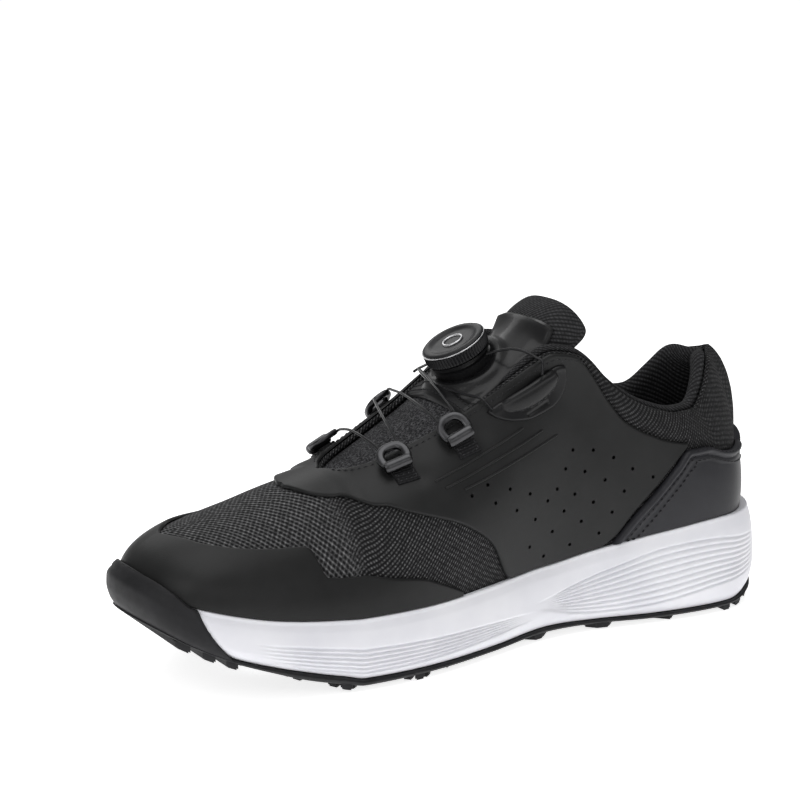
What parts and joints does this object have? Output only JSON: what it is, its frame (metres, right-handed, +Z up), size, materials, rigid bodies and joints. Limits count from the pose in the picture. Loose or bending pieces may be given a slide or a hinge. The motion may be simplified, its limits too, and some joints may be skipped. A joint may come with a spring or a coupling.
{
  "type": "cycling shoe",
  "caption": "Low right cycling shoe with a foam sole on a lugged rubber tread, knit upper with smooth overlays and a wire lace drawn by a dial.",
  "frame": {"origin": "centre of the shoe's box on the floor", "axes": "+X to the toe, +Y to the inner (medial) side of the foot, +Z up"},
  "size_m": [0.2954, 0.106, 0.1342],
  "materials": {
    "rubber": "matte",
    "foam": "matte",
    "knit": "matte",
    "leather": "satin",
    "lining": "matte",
    "plastic": "satin",
    "gloss": "gloss",
    "metal": "satin"
  },
  "bodies": {
    "root": {"outsole": "rubber", "midsole": "foam", "cleat_rim": "foam", "cleat_plate": "plastic", "cleat_nut_1": "metal", "cleat_nut_2": "metal", "insole": "lining", "upper": "knit", "toe_cap": "leather", "quarter_panel": "leather", "heel_counter": "leather", "collar": "lining", "tongue": "lining", "dial_saddle": "gloss", "dial_base": "plastic", "dial_knob": "plastic", "guide_medial_1": "metal", "guide_medial_2": "metal", "guide_lateral_1": "metal", "guide_lateral_2": "metal", "tab_medial_1": "lining", "tab_medial_2": "lining", "tab_lateral_1": "lining", "tab_lateral_2": "lining", "top_guide_medial": "gloss", "top_guide_lateral": "gloss", "lace_zigzag": "plastic", "lace_dial_medial": "plastic", "lace_dial_lateral": "plastic"}
  },
  "joints": []
}
